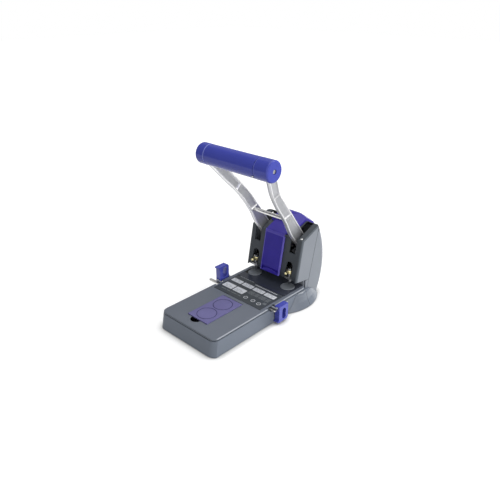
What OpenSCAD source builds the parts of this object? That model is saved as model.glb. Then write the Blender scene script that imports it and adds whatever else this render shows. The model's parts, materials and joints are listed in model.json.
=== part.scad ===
// Heavy duty two-hole punch: a long base, a leaning tower and a cast lever with a cross grip.
// Millimetres, +Z up, the front towards -Y. X = 0 is the middle, Y = 0 is the line of the
// cutting discs and Z = 0 is the table.

/* [Base] */
// Width of the base at its top edge
base_w = 128.8; // [100:0.2:180]
// Length of the base in front of the discs
base_front = 205.5; // [140:0.5:260]
// Length of the base behind the discs
base_rear = 24; // [15:1:40]
// Height of the base's top face
base_h = 32.2; // [24:0.2:60]
// Depth of the dark seam below the top face
seam_drop = 4; // [2:0.1:8]
// How far the sides lean out from the top to the table
base_flare = 2; // [0:0.1:6]
// How far the front wall leans out from the top to the table
front_flare = 4.8; // [0:0.1:8]
// Radius of the base's upright corners
corner_r = 11; // [4:0.5:25]
// Wall of the base shell
shell_t = 2.6; // [1.5:0.1:5]
// Height of the rubber feet
foot_h = 0.8; // [0.5:0.1:6]

/* [Rear foot] */
// Radius of the round foot at the table
rear_foot_r = 79.5; // [60:0.5:110]
// Radius of the round foot where its top starts to turn in
rear_foot_top_r = 69.5; // [50:0.1:90]
// How far the round foot stays below the base's top face
rear_foot_drop = 3.7; // [2:0.1:8]
// Radius of the foot's rounded top edge
rear_foot_edge = 7; // [3:0.5:12]
// Radius of the arch by which the foot falls away to the back
foot_arch_r = 62; // [50:1:120]
// Middle of the round foot behind the discs
rear_foot_y = 13; // [0:1:40]

/* [Base top] */
// Length and width of the violet storage lid
lid_size = [46, 79]; // [20:1:120]
// Middle of the lid
lid_y = -142.5; // [-170:0.5:-100]
// How far the lid stands above the base
lid_rise = 1.5; // [0.5:0.1:4]
// Middle of the finger notch in front of the lid
notch_x = -2.5; // [-10:0.5:10]
// Radius of the finger notch
notch_r = 10.4; // [5:0.2:12]
// Diameter of the two wells under the lid
well_d = 32; // [26:0.5:44]
// Depth of the wells
well_depth = 15; // [6:0.5:24]
// Width and depth of the printed field
label_size = [112, 61]; // [60:1:124]
// Front edge of the printed field
label_front = -92; // [-100:0.5:-60]
// Diameter of a cutting disc
disc_d = 26; // [18:0.5:34]
// Thickness of a cutting disc
disc_t = 3.5; // [2:0.1:6]
// Distance between the two holes
hole_pitch = 80; // [70:1:110]

/* [Paper stops] */
// Width, depth and length of a paper stop
stop_size = [10.2, 23, 30]; // [6:0.2:50]
// Depth of the pin that a stop turns on, below the top face
stop_pin_drop = 1.5; // [1:0.1:4]
// Middle of the stops
stop_y = -54.5; // [-80:0.5:-30]
// Gap between the base's top edge and a stop
stop_gap = 2.5; // [2.2:0.1:6]
// Length of the steel guide bar
bar_len = 163; // [140:1:200]
// How far the bar stands to the left of the middle
bar_shift = 9; // [0:0.5:15]

/* [Tower] */
// Width of the tower
tower_w = 119; // [90:0.5:160]
// Bottom edge of the tower's front
tower_y = -1.6; // [-10:0.1:10]
// Height of that edge
tower_z = 48.5; // [40:0.5:70]
// Lean of the front
front_lean = 10.8; // [0:0.1:20]
// Height of the crease where the front meets the top
crease_z = 123; // [100:0.5:160]
// Slope of the top
top_slope = 21.5; // [0:0.5:40]
// Radius of the shoulder between top and back
shoulder_r = 13; // [6:0.5:25]
// Radius of the curved back
back_r = 150; // [100:1:300]
// Rearmost reach and height of the curved back
back_tip = [85.5, 66]; // [40:0.5:100]
// Radius of the back's upright edges
back_edge = 14; // [4:0.5:20]
// Wall of the tower's covers
wall_t = 3; // [2:0.1:5]
// Inner and outer sides of an arm slot
slot_x = [34.5, 48]; // [30:0.5:55]
// Bottom of an arm slot in the front
slot_z = 97; // [80:0.5:115]
// Rear end of an arm slot
slot_rear = 59; // [50:0.5:70]
// Width of a punch window
window_w = 14.5; // [13.5:0.5:24]
// Height of a window's top and radius of its upper corners
window_top = [81, 7]; // [4:0.5:96]
// Half width of the violet door and of the violet hood
violet_half = [21.7, 31]; // [15:0.1:34]
// Bottom of the violet door and of its flat face
door_z = [49.5, 60.5]; // [40:0.5:80]
// How far the violet pieces stand out
violet_rise = 4; // [1:0.2:8]
// How far the domed hood stands out in its middle
hood_rise = 10.5; // [5:0.5:16]
// Radius of the dome on top and of its fall to the back
dome_r = [78, 78]; // [35:1:90]

/* [Lever] */
// Place of the pivot in Y and Z
pivot = [50.1, 91.7]; // [30:0.1:120]
// Place of the grip's axis in Y and Z
grip_axis = [-86.7, 275.7]; // [-150:0.1:320]
// Width of an arm seen from the side
arm_w = 20; // [14:0.5:30]
// Thickness of an arm
arm_t = 8.2; // [6:0.1:9]
// Middle of an arm's lower length
arm_x = 39.7; // [39:0.1:43]
// Distance along the arm to its bend
bend_s = 145.6; // [120:0.2:180]
// Distance of an arm's middle from the end of the grip
arm_end_in = 8.6; // [7:0.1:20]
// How much an arm's front and rear edges draw in towards the grip
arm_taper = [0, 2.2]; // [0:0.1:6]
// Depth of the panel between an arm's rims
arm_panel = 2; // [0.5:0.1:3.5]
// Width of an arm's rim
arm_rim = 2.6; // [1.5:0.1:5]
// Diameter of the pivot shaft
pivot_d = 12; // [8:0.5:16]
// Diameter and place along the arm of the cross rod
cross_rod = [7, 89.5]; // [5:0.5:120]
// Diameter of the rod's ends where they show outside the arms
rod_end_d = 4; // [2:0.5:6]
// Diameter of the grip
grip_d = 35; // [24:0.5:44]
// Length of the grip with its caps
grip_len = 155.6; // [130:0.2:200]
// Lengths of the left and right caps
cap_len = [19.4, 28.2]; // [14:0.2:40]
// Lever arm of the drive pins
drive_r = 19.67; // [15:0.01:25]
// Angle of the drive pins below the level at rest
drive_drop = 10; // [0:0.5:20]

/* [Punches] */
// Punch line behind the middle of the discs
punch_y = 4.5; // [0:0.5:8]
// Diameter of a punch
punch_d = 8; // [6:0.1:10]
// Diameter of the cutting edge and of the bore
punch_edge = [6.2, 5.4]; // [4:0.1:8]
// Height of the cutting edge at rest
punch_tip = 38.5; // [36:0.1:48]
// Bottom of the brass collar at rest
collar_z = 58.5; // [54:0.5:66]
// Diameter and height of the brass collar
collar_size = [11.5, 7]; // [8:0.5:16]
// Diameter of the brass screw in the collar, and how far it stands out in front of the punch
collar_screw = [5.6, 13.5]; // [4:0.1:16]

/* [Fits] */
// Running fit on a radius
run_fit = 0.05; // [0.02:0.01:0.1]
// Gap between parts that lie side by side
gap = 0.3; // [0.2:0.05:0.6]

/* [Hidden] */
$fn = 96;

GREY = [0.55, 0.57, 0.61];
DARK = [0.20, 0.21, 0.23];
BLACK = [0.10, 0.10, 0.12];
VIOLET = [0.27, 0.25, 0.62];
STEEL = [0.72, 0.73, 0.74];
CAST = [0.80, 0.80, 0.80];
BRASS = [0.80, 0.68, 0.30];
RUBBER = [0.08, 0.08, 0.08];
PAD = [0.45, 0.46, 0.48];

big = 400;
hole_x = hole_pitch / 2;
base_half = base_w / 2;
seam_z = base_h - seam_drop;
rear_foot_h = base_h - rear_foot_drop;
tower_half = tower_w / 2;
inner_half = tower_half - wall_t;

// Lid, bed and discs
lid_t = 2.2;
lid_top = base_h + lid_rise;
lid_bottom = lid_top - lid_t;
lid_back = lid_y + lid_size[1] / 2;
lid_front = lid_y - lid_size[1] / 2;
lid_half = lid_size[0] / 2;
lid_barrel_r = 1.7;
lid_pin_r = 0.8;
lid_axis = [lid_back + 2.4, base_h - 1.4];
lid_floor = lid_bottom - gap;
well_step = 37 / 2;
top_plate_t = 2.6;
seam_gap = 1.5;
rim_w = 4;
bed_rise = 0.5;
bed_half = hole_x + disc_d / 2 + 4;
bed_front = label_front + label_size[1] + 1;
bed_rear = base_rear - 0.5;
disc_top = base_h + 1.5;

// Paper stops and bar
stop_axis_in = 3;
stop_pin_z = base_h - stop_pin_drop;
stop_pin_r = 0.9;
stop_x = base_half + stop_gap + stop_size[0] / 2;
stop_lip = [3, 2.6];
ear_r = 1.9;
ear_t = 3;
ear_y = stop_size[1] / 2 + gap;
bar_t = 2;
bar_depth = 6;
bar_y = -73;
bar_top = seam_z - 0.3;
boss_in = 54;
scoop_r = 10;
scoop_y = -72;
scoop_depth = 5;

// Tower profile: front line, top line, curved back and the shoulder between them
lean_t = tan(front_lean);
function front_y(z) = tower_y + (z - tower_z) * lean_t;
crease = [front_y(crease_z), crease_z];
top_dir = [cos(top_slope), sin(top_slope)];
top_norm = [-sin(top_slope), cos(top_slope)];
back_c = [back_tip[0] - back_r, back_tip[1]];
slide_from = crease - shoulder_r * top_norm;
from_back = slide_from - back_c;
slide_b = from_back * top_dir;
slide_c = from_back * from_back - pow(back_r - shoulder_r, 2);
shoulder_c = slide_from + (sqrt(slide_b * slide_b - slide_c) - slide_b) * top_dir;
back_dir = (shoulder_c - back_c) / (back_r - shoulder_r);
shoulder_back = back_c + back_r * back_dir;
tower_foot = 5;
foot_rim_z = 9;
mitre = (top_norm[0] - top_norm[1] * lean_t + 1 / cos(front_lean)) / (top_dir[0] - top_dir[1] * lean_t);
function crease_at(inset) = crease + inset * (mitre * top_dir - top_norm);
door_axis = crease_at(-violet_rise / 2);
door_barrel_r = violet_rise / 2 - gap;
door_pin_r = 0.9;
door_ear = 3;
hood_step = 33;
dome_turn = 55;
seam_top = [58, 134];
seam_bottom = [36.6, 41];
throat_rear = [27, 41];
front_fold = 5;

// Lever
arm_vec = grip_axis - pivot;
arm_tilt = atan2(-arm_vec[0], arm_vec[1]);
arm_len = norm(arm_vec);
bend_angle = atan((grip_len / 2 - arm_end_in - arm_x) / (arm_len - bend_s));
upper_end = (arm_len - bend_s) / cos(bend_angle) + 7;
knuckle_r = arm_t / 2 + 0.6;
eye_r = 13;
panel_from = 24;
rib_at = 96;
rib_t = 3;
lug_r = 8;
drive_at = pivot + drive_r * [-cos(drive_drop), -sin(drive_drop)];
drive_pin_d = 8;
drive_x = [28, 34];
grip_rod_d = 8;
cap_seam = 0.5;
rod_in = 10;
cap_from = [-grip_len / 2 + cap_len[0], grip_len / 2 - cap_len[1]];
cap_round = 3.2;
seam_round = 0.7;
screw_head = [5.8, 2.4];
screw_well = [7.6, 3.6];
screw_shank = 3.4;
well_floor = grip_len / 2 - screw_well[1];

// Punches and carrier
carrier_z = [64, 75];
carrier_y = [13, 25];
carrier_half = hole_x + 7;
tongue_reach = 11;
slot_play = 0.45;
plate_bottom = foot_h + 0.6;
plate_top = plate_bottom + 2;
foot_r = 8;
plate_z = [48.7, 52.3];
plate_y = [1.6, 24];
holder_top = 69.5;
holder_r = 4.7;
frame_x = [50, 54];
frame_rear = pivot[0] + 12;
tongue_half = frame_x[1] + 2;
chip_room = [19, 57, 117];

// Draws a Y-Z outline along X, from one X to another
module across(x0, x1) {
  translate([x0, 0, 0])
    rotate([90, 0, 90])
      linear_extrude(height = x1 - x0)
        children();
}

// Draws an X-Z outline along Y, from one Y to another
module along(y0, y1) {
  translate([0, y1, 0])
    rotate([90, 0, 0])
      linear_extrude(height = y1 - y0)
        children();
}

// A box from its lowest to its highest corner
module block(lo, hi) {
  translate(lo)
    cube(hi - lo);
}

// A rod along X
module rod_x(x0, x1, yz, r) {
  translate([x0, yz[0], yz[1]])
    rotate([0, 90, 0])
      cylinder(h = x1 - x0, r = r);
}

// A round-cornered slab whose side follows an outline of [outward step, z] points
module skirt(half, y0, y1, r, outline) {
  n = len(outline);
  lo = outline[0][1];
  hi = outline[n - 1][1];
  along(y0 + r, y1 - r)
    polygon(concat(
      [for (p = outline) [half + p[0], p[1]]],
      [for (i = [n - 1 : -1 : 0]) [-half - outline[i][0], outline[i][1]]]));
  across(r - half, half - r)
    polygon(concat(
      [for (p = outline) [y1 + p[0], p[1]]],
      [for (i = [n - 1 : -1 : 0]) [y0 - outline[i][0], outline[i][1]]]));
  for (x = [r - half, half - r], y = [y0 + r, y1 - r])
    translate([x, y, 0])
      rotate_extrude()
        polygon(concat([[0, lo]], [for (p = outline) [r + p[0], p[1]]], [[0, hi]]));
}

function flare_at(z) = base_flare * (1 - z / base_h);

// The base's outer form between two heights, stepped inwards
module base_form(z0, z1, inset, edge = 0) {
  r = max(corner_r - inset, 1);
  skirt(base_half - inset, inset - base_front, base_rear - inset, r, edge == 0
    ? [[flare_at(z0), z0], [flare_at(z1), z1]]
    : [[flare_at(z0), z0], [flare_at(z1 - edge), z1 - edge], [flare_at(z1) - edge, z1]]);
}

// The finger scoop in a side wall beside a stop
module stop_scoop(side) {
  x = base_half - scoop_depth;
  rod_x(side > 0 ? x : -big, side > 0 ? big : -x, [scoop_y, base_h + 2], scoop_r);
}

module guide_slot() {
  block([-big, bar_y - gap, bar_top - bar_t - gap], [big, bar_y + bar_depth + gap, bar_top + gap]);
}

// The base's outer form below the seam, whose front wall leans out further than its sides
module shell_form() {
  foot_lean = front_flare * (1 - foot_h / base_h);
  seam_lean = front_flare * (1 - seam_z / base_h);
  low = base_half + flare_at(0);
  intersection() {
    skirt(base_half, -base_front, base_rear + 2 * corner_r, corner_r,
      [[foot_lean, foot_h], [seam_lean, seam_z]]);
    along(-big, base_rear)
      polygon([[-low, 0], [low, 0], [base_half, base_h], [-base_half, base_h]]);
  }
}

module base_shell() {
  color(GREY)
    difference() {
      union() {
        difference() {
          shell_form();
          base_form(foot_h - 1, seam_z + 1, shell_t);
        }
        // Inner blocks that back the scoops and carry the guide bar
        for (side = [-1, 1])
          block(
            [side > 0 ? boss_in : -base_half + 1, bar_y - 9, 8],
            [side > 0 ? base_half - 1 : -boss_in, stop_y + 12, seam_z]);
      }
      guide_slot();
      for (side = [-1, 1])
        stop_scoop(side);
      // Way out for the bottom plate's tongue
      block([-tongue_half - gap, base_rear - 8, 0], [tongue_half + gap, big, plate_top + gap]);
    }
}

module lid_pocket() {
  w = lid_half + gap;
  block([-w, lid_front - gap, lid_floor], [w, lid_back + gap, big]);
  block([-w, lid_back - 1.3, lid_axis[1] - 0.5], [w, lid_axis[0] + lid_barrel_r + gap, big]);
  rod_x(-w, w, lid_axis, lid_barrel_r + gap);
}

module well_places() {
  for (side = [-1, 1])
    translate([0, lid_y + side * well_step, 0])
      children();
}

// A pin along the base's right side
module stop_pin(r) {
  reach = ear_y + ear_t;
  translate([stop_x, stop_y + reach + 2, stop_pin_z])
    rotate([90, 0, 0])
      cylinder(h = 2 * reach + 2, r = r);
}

// Ear that holds one end of a stop's pin
module stop_ear() {
  root = base_half - scoop_depth - 1;
  rotate([90, 0, 0])
    linear_extrude(height = ear_t, center = true) {
      translate([stop_x, 0])
        circle(ear_r);
      translate([root, -ear_r])
        square([stop_x - root, ear_r + stop_pin_drop - 1]);
    }
}

module base_cover() {
  color(DARK)
    difference() {
      union() {
        cover_panel();
        for (side = [-1, 1], end = [-1, 1])
          scale_side(side)
            translate([0, stop_y + end * (ear_y + ear_t / 2), stop_pin_z])
              stop_ear();
      }
      for (side = [-1, 1])
        scale_side(side)
          stop_pin(stop_pin_r);
    }
}

module cover_panel() {
  label_y = label_front - gap;
  disc_floor = disc_top - disc_t - 0.2;
  difference() {
    union() {
      difference() {
        base_form(seam_z + seam_gap, base_h, 0, 1);
        block(
          [rim_w - base_half, rim_w - base_front, 0],
          [base_half - rim_w, base_rear - rim_w, base_h - top_plate_t]);
      }
      // Tray under the lid and the two cups
      block(
        [-lid_half - 3, lid_front - 3, lid_floor - 4],
        [lid_half + 3, lid_axis[0] + 5, base_h - 1]);
      well_places()
        translate([0, 0, lid_floor - well_depth - 1.6])
          cylinder(h = well_depth, d = well_d + 3.2);
      // Seats under the cutting discs
      for (side = [-1, 1])
        translate([side * hole_x, 0, disc_floor - 3])
          cylinder(h = 3.4, d = disc_d + 6);
    }
    lid_pocket();
    well_places()
      translate([0, 0, lid_floor - well_depth])
        cylinder(h = big, d = well_d);
    // Finger notch in front of the lid
    translate([notch_x, lid_front + 0.5, lid_floor - 8])
      cylinder(h = big, r = notch_r);
    rod_x(-lid_half - 2.4, lid_half + 2.4, lid_axis, lid_pin_r);
    block(
      [-label_size[0] / 2 - gap, label_y, base_h - 0.6],
      [label_size[0] / 2 + gap, label_front + label_size[1] + gap, big]);
    block([-bed_half - gap, bed_front - gap, base_h - 1.2], [bed_half + gap, big, big]);
    for (side = [-1, 1]) {
      translate([side * hole_x, 0, disc_floor])
        cylinder(h = big, d = disc_d + 2 * gap);
      stop_scoop(side);
    }
  }
}

module bottom_plate() {
  color(STEEL)
    union() {
      base_form(plate_bottom, plate_top, shell_t + gap);
      block([-tongue_half, 0, plate_bottom], [tongue_half, frame_rear - 2, plate_top]);
    }
}

module feet() {
  color(RUBBER)
    union() {
      cylinder(h = plate_bottom, r = foot_r);
      for (side = [-1, 1]) {
        translate([side * (base_half - 2 * foot_r), 2 * foot_r - base_front, 0])
          cylinder(h = plate_bottom, r = foot_r);
        translate([side * (tongue_half - 1.5 * foot_r), frame_rear - 1.5 * foot_r, 0])
          cylinder(h = plate_bottom, r = foot_r);
      }
    }
}

// The tower's outer or inner form between its sides, with its back edges rounded
module tower_form(inset) {
  half = tower_half - inset;
  r = back_edge - inset;
  reach = back_r - inset;
  intersection() {
    across(-half, half)
      tower_outline(inset);
    translate([0, back_c[0], back_c[1]])
      rotate([0, 90, 0])
        rotate_extrude($fn = 240) {
          translate([0, r - half])
            square([reach, 2 * half - 2 * r]);
          translate([0, -half])
            square([reach - r, 2 * half]);
          for (side = [-1, 1])
            translate([reach - r, side * (half - r)])
              circle(r);
        }
  }
}

module rear_foot() {
  top_r = rear_foot_top_r - rear_foot_edge;
  turn_z = rear_foot_h - rear_foot_edge;
  low = foot_h + 0.2;
  waist = [rear_foot_r - 6.7, low + 11];
  t = 3.6;
  color(GREY)
    difference() {
      translate([0, rear_foot_y, 0])
        rotate_extrude()
          difference() {
            union() {
              polygon([
                [40, low], [rear_foot_r, low], waist, [rear_foot_top_r, turn_z], [top_r, rear_foot_h],
                [40, rear_foot_h]
              ]);
              translate([top_r, turn_z])
                circle(rear_foot_edge);
            }
            polygon([
              [0, 0], [rear_foot_r - t, 0], waist - [t, 0], [rear_foot_top_r - t, turn_z],
              [top_r, rear_foot_h - t], [0, rear_foot_h - t]
            ]);
          }
      // The top falls away in an arch towards the back
      across(-big, big)
        difference() {
          translate([rear_foot_y, foot_rim_z])
            square(big);
          translate([rear_foot_y, rear_foot_h - foot_arch_r])
            circle(foot_arch_r);
        }
      skirt(base_half + gap, -big, base_rear + gap, 1,
        [[flare_at(0), -1], [flare_at(base_h), base_h]]);
      tower_form(-gap);
      block([-tower_half - gap, 0, 0], [tower_half + gap, frame_rear, big]);
    }
}

module label_plate() {
  color(DARK)
    block(
      [-label_size[0] / 2, label_front, base_h - 0.6],
      [label_size[0] / 2, label_front + label_size[1], base_h + 0.5]);
}

module punch_bed() {
  color(BLACK)
    difference() {
      block([-bed_half, bed_front, base_h - 1.2], [bed_half, bed_rear, base_h + bed_rise]);
      for (side = [-1, 1])
        translate([side * hole_x, 0, 0])
          cylinder(h = big, d = disc_d + 2 * gap);
      // Thumb room beside the left disc
      translate([-hole_x - 9, -4, 0])
        cylinder(h = big, r = 9);
    }
}

module storage_lid() {
  color(VIOLET)
    difference() {
      union() {
        block([-lid_half, lid_front, lid_bottom], [lid_half, lid_back, lid_top]);
        rod_x(-lid_half, lid_half, lid_axis, lid_barrel_r);
        block(
          [-lid_half, lid_back - 1, lid_axis[1] - 0.2],
          [lid_half, lid_axis[0], lid_axis[1] + lid_barrel_r]);
      }
      rod_x(-big, big, lid_axis, lid_pin_r + run_fit);
      // Groove round each well
      well_places()
        translate([0, 0, lid_top - 0.6])
          difference() {
            cylinder(h = 2, d = well_d + 2);
            translate([0, 0, -1])
              cylinder(h = 4, d = well_d);
          }
    }
}

module lid_pin() {
  color(STEEL)
    rod_x(-lid_half - 2.2, lid_half + 2.2, lid_axis, lid_pin_r);
}

module spare_discs() {
  color(PAD)
    well_places()
      for (i = [0 : 2])
        translate([0, 0, lid_floor - well_depth + i * (disc_t + 0.2)])
          cylinder(h = disc_t, d = disc_d);
}

module cutting_disc(side) {
  color(PAD)
    translate([side * hole_x, 0, disc_top - disc_t])
      rotate_extrude()
        polygon([
          [0, 0], [disc_d / 2 - 0.5, 0], [disc_d / 2, 0.5], [disc_d / 2, disc_t - 0.6],
          [disc_d / 2 - 0.6, disc_t], [disc_d / 2 - 2.2, disc_t],
          [disc_d / 2 - 2.6, disc_t - 0.4], [0, disc_t - 0.4]
        ]);
}

// A stop stands on its pin on the left and hangs from it on the right
module guide_stop(side) {
  x0 = base_half + stop_gap;
  color(VIOLET)
    translate([0, stop_y, stop_pin_z])
      scale_side(side)
        difference() {
          across(x0, x0 + stop_size[0])
            stop_turned(side)
              stop_outline();
          translate([0, -stop_y, -stop_pin_z])
            stop_pin(stop_pin_r + run_fit);
          across(x0 - 1, x0 + stop_size[0] + 1)
            stop_turned(side)
              stop_slot();
        }
}

module scale_side(side) {
  if (side > 0)
    children();
  else
    mirror([1, 0, 0])
      children();
}

module stop_turned(side) {
  if (side < 0)
    children();
  else
    mirror([0, 1, 0])
      children();
}

module stop_outline() {
  half = stop_size[1] / 2;
  top = stop_size[2] - stop_axis_in;
  r = 5;
  polygon([
    [-half, -stop_axis_in], [half, -stop_axis_in], [half, top - r], [half - r, top],
    [-half - stop_lip[0], top], [-half - stop_lip[0], top - stop_lip[1]], [-half, top - stop_lip[1]]
  ]);
  translate([half - r, top - r])
    circle(r);
}

// Long round-ended slot through a stop
module stop_slot() {
  r = 4.6;
  from = 7.6;
  to = stop_size[2] - stop_axis_in - 7.6;
  translate([1, from])
    circle(r);
  translate([1, to])
    circle(r);
  translate([1 - r, from])
    square([2 * r, to - from]);
}

module guide_pins() {
  color(STEEL)
    for (side = [-1, 1])
      scale_side(side)
        stop_pin(stop_pin_r);
}

module guide_bar() {
  x0 = -bar_len / 2 - bar_shift;
  color(STEEL)
    difference() {
      block([x0, bar_y, bar_top - bar_t], [x0 + bar_len, bar_y + bar_depth, bar_top]);
      // Cut front corners
      for (x = [x0, x0 + bar_len])
        translate([x, bar_y, bar_top])
          rotate([0, 0, 45])
            cube([2.4, 2.4, 20], center = true);
    }
}

// Side outline of the tower, stepped inwards
module tower_outline(inset) {
  f = front_y(0) + inset / cos(front_lean);
  c = crease - inset * top_norm;
  reach = 200;
  difference() {
    intersection() {
      polygon([[f, 0], [f + 300 * lean_t, 300], [f + 300 * lean_t + reach, 300], [f + reach, 0]]);
      polygon([
        c - reach * top_dir, c + reach * top_dir, c + reach * (top_dir - top_norm),
        c - reach * (top_dir + 2 * top_norm)
      ]);
      translate(back_c)
        circle(back_r - inset, $fn = 240);
    }
    // The corner outside the shoulder's round
    difference() {
      polygon([
        shoulder_c, shoulder_c + 40 * top_norm, shoulder_c + 40 * (top_norm + back_dir),
        shoulder_c + 40 * back_dir
      ]);
      translate(shoulder_c)
        circle(shoulder_r - inset);
    }
  }
}

// The part of a tower outline that lies above a height
module above(z) {
  intersection() {
    children();
    translate([-big, z])
      square(2 * big);
  }
}

// Region behind the seam between side cover and rear cover
module behind_seam(step) {
  dir = (seam_top - seam_bottom) / norm(seam_top - seam_bottom);
  polygon([
    [seam_bottom[0] + step, seam_bottom[1]], [seam_bottom[0] + step, seam_bottom[1]] + 200 * dir,
    [big, big], [big, -10], [throat_rear[0] + step, -10], [throat_rear[0] + step, throat_rear[1] - step]
  ]);
}

// Region deeper than a step behind the front face
module behind_front(step) {
  f = front_y(0) + step;
  polygon([[f, 0], [f + 300 * lean_t, 300], [big, 300], [big, 0]]);
}

// Slanted bottom edge of the side covers
module above_throat() {
  polygon([
    [-big, tower_z], [front_y(tower_z) + front_fold, tower_z - 2.3], [seam_bottom[0], seam_bottom[1]],
    [big, seam_bottom[1]], [big, big], [-big, big]
  ]);
}

module arm_slots() {
  for (side = [-1, 1])
    scale_side(side)
      block([slot_x[0], -big, slot_z], [slot_x[1], slot_rear, big]);
}

// A tall window with round upper corners, cut through the front
module punch_windows() {
  half = window_w / 2;
  r = window_top[1];
  for (side = [-1, 1])
    along(-60, 13)
      translate([side * hole_x, 0]) {
        translate([-half, 0])
          square([window_w, window_top[0] - r]);
        translate([r - half, 0])
          square([window_w - 2 * r, window_top[0]]);
        for (x = [r - half, half - r])
          translate([x, window_top[0] - r])
            circle(r);
      }
}

module tower_front() {
  color(DARK)
    difference() {
      union() {
        // Front and top wall
        intersection() {
          difference() {
            tower_form(0);
            across(-big, big)
              tower_outline(wall_t);
          }
          across(-big, big)
            difference() {
              above(tower_z)
                square([90, 200]);
              polygon([shoulder_c, shoulder_back - [0, 0.5], [big, shoulder_back[1]], [big, 0], [40, 0]]);
            }
        }
        // Folds round to the sides
        for (side = [-1, 1])
          scale_side(side) {
            across(inner_half, tower_half)
              difference() {
                above(tower_z - 2)
                  tower_outline(0);
                behind_front(front_fold);
              }
            // Ear for the door's pin
            rod_x(violet_half[0] + gap, violet_half[0] + gap + door_ear, door_axis, door_barrel_r);
            block(
              [violet_half[0] + gap, door_axis[0], door_axis[1] - door_barrel_r],
              [violet_half[0] + gap + door_ear, door_axis[0] + 4, door_axis[1]]);
          }
      }
      arm_slots();
      punch_windows();
      // Way into the chip space behind the door
      block([-chip_room[0], -big, chip_room[1]], [chip_room[0], 25, chip_room[2]]);
      // Rounded upright edges
      for (side = [-1, 1])
        scale_side(side)
          edge_round(4);
      for (side = [-1, 1])
        screw_hole(side);
      rod_x(-violet_half[0] - 3, violet_half[0] + 3, door_axis, door_pin_r);
    }
}

// Takes the sharp edge off along the leaning corner of the front
module edge_round(r) {
  translate([tower_half, front_y(0), 0])
    rotate([-front_lean, 0, 0])
      linear_extrude(height = 200)
        difference() {
          translate([-r, -1])
            square([r + 1, r + 1]);
          translate([-r, r])
            circle(r);
        }
}

function screw_at() = crease + 5 * top_dir;

module screw_hole(side) {
  at = screw_at();
  translate([side * (tower_half - 5), at[0], at[1]])
    rotate([top_slope, 0, 0])
      cylinder(h = 12, d = 3.2, center = true);
}

module cover_screws() {
  at = screw_at();
  color(STEEL)
    for (side = [-1, 1])
      translate([side * (tower_half - 5), at[0], at[1]])
        rotate([top_slope, 0, 0]) {
          translate([0, 0, -2.8])
            cylinder(h = 3.6, d = 3);
          translate([0, 0, 0.1])
            cylinder(h = 0.9, d = 4);
        }
}

module side_cover(side) {
  color(GREY)
    scale_side(side)
      across(inner_half + gap, tower_half)
        difference() {
          intersection() {
            tower_outline(wall_t + gap);
            behind_front(front_fold + gap);
            above_throat();
          }
          behind_seam(0);
        }
}

module rear_cover() {
  color(GREY)
    difference() {
      intersection() {
        tower_form(0);
        across(-big, big)
          intersection() {
            above(tower_foot)
              behind_seam(gap);
            polygon([[-big, -10], [-big, 110], [20, 115], shoulder_back - [0, 1.2], [big, 132], [big, -10]]);
          }
      }
      tower_form(wall_t);
      block([-inner_half, 0, 0], [inner_half, 60, big]);
    }
}

// The violet door: a shallow box on the leaning front, hinged at its top edge
module chip_door() {
  z0 = door_z[0];
  z1 = door_axis[1];
  half = violet_half[0];
  rim = 2;
  face_z = door_z[1];
  lip_h = 7.5;
  lip_r = (half * half + lip_h * lip_h) / (2 * lip_h);
  recess_y = front_y(z0 + lip_h) - violet_rise + 2.4;
  color(VIOLET)
    difference() {
      union() {
        across(-half, half)
          polygon([
            [front_y(z0) - violet_rise, z0], [front_y(z1) - violet_rise, z1],
            [front_y(z1) - gap, z1], [front_y(z0) - gap, z0]
          ]);
        rod_x(-half, half, door_axis, door_barrel_r);
      }
      // Hollow back
      across(rim - half, half - rim)
        polygon([
          [front_y(face_z) - violet_rise + rim, face_z], [front_y(z1 - 5) - violet_rise + rim, z1 - 5],
          [front_y(z1 - 5) + 5, z1 - 5], [front_y(face_z) + 5, face_z]
        ]);
      // Finger recess above an arched lip
      along(-30, recess_y)
        difference() {
          translate([rim - half, z0])
            square([2 * half - 2 * rim, face_z - 2 - z0]);
          translate([0, z0 + lip_h - lip_r])
            circle(lip_r);
        }
      // The corner above the pin, so that the door can turn
      across(-half - 1, half + 1)
        difference() {
          translate(door_axis - [10, 0])
            square(20);
          translate(door_axis)
            circle(door_barrel_r);
        }
      rod_x(-big, big, door_axis, door_pin_r + run_fit);
    }
}

module door_pin() {
  color(STEEL)
    rod_x(-violet_half[0] - 2.9, violet_half[0] + 2.9, door_axis, door_pin_r);
}

// A round along a slope in Y and Z, whose crest stands a rise above a point
module dome_round(at, slope, rise, r) {
  translate([0, at[0], at[1]])
    rotate([slope, 0, 0])
      translate([0, big / 2, rise - r])
        rotate([90, 0, 0])
          cylinder(h = big, r = r);
}

// Hood that follows the tower's top and back between the arm slots: a narrow front and a dome
module top_cover() {
  tip = crease_at(-violet_rise * 2);
  step = hood_step;
  color(VIOLET)
    difference() {
      union() {
        across(-violet_half[0], violet_half[0])
          intersection() {
            tower_outline(-violet_rise);
            polygon([crease, tip, [step + 12, 200], [step + 12, 100], [crease[0] + 4, 100]]);
          }
        intersection() {
          across(-violet_half[1], violet_half[1])
            intersection() {
              tower_outline(-hood_rise);
              polygon([[step, 100], [step + 8, 200], [big, 200], [big, 118], [step + 40, 118]]);
            }
          // The dome's round lies along the slope of the top, and then down the back
          dome_round(crease, top_slope, hood_rise, dome_r[0]);
          dome_round(shoulder_c, top_slope - dome_turn, shoulder_r + hood_rise, dome_r[1]);
        }
      }
      across(-big, big)
        tower_outline(-gap / 2);
      rod_x(-big, big, door_axis, door_barrel_r + gap);
      // Room for the door's face when it is open
      block([-big, -big, 0], [big, door_axis[0], door_axis[1] + violet_rise / 2 + gap]);
    }
}

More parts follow.
